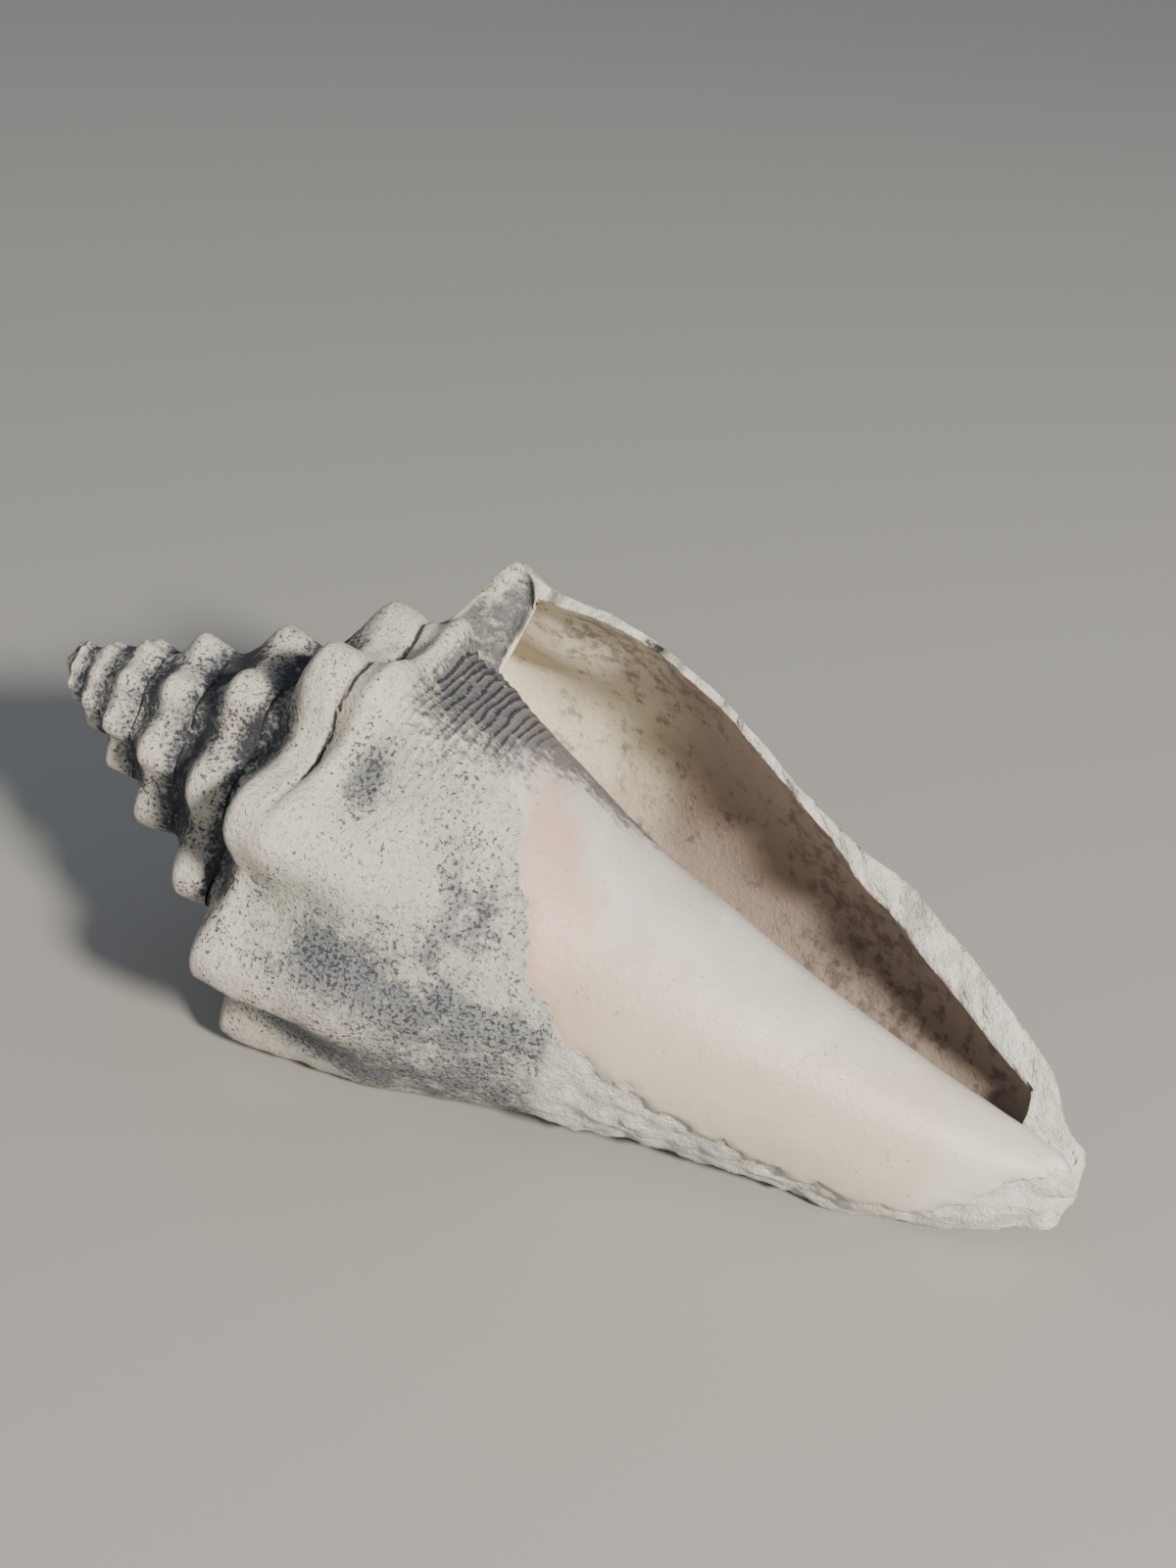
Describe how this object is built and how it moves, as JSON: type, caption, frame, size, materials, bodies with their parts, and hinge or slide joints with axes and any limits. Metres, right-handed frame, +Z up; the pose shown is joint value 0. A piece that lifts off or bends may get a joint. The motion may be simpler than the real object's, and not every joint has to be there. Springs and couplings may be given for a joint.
{
  "type": "conch shell",
  "caption": "Weathered conch shell with a knobbed spire, tapered body whorl and a long narrow mouth with a thin broken lip; lies on its side as an ornament.",
  "frame": {"origin": "centre of the bounding box's base, on the surface the shell lies on", "axes": "+X from the apex towards the siphon canal, +Z up, the mouth opening towards -Y and up"},
  "size_m": [0.156, 0.0722, 0.0672],
  "materials": {
    "shell": "chalky and worn outside, smooth satin callus by the mouth"
  },
  "bodies": {
    "root": {"shell": "shell"}
  },
  "joints": []
}
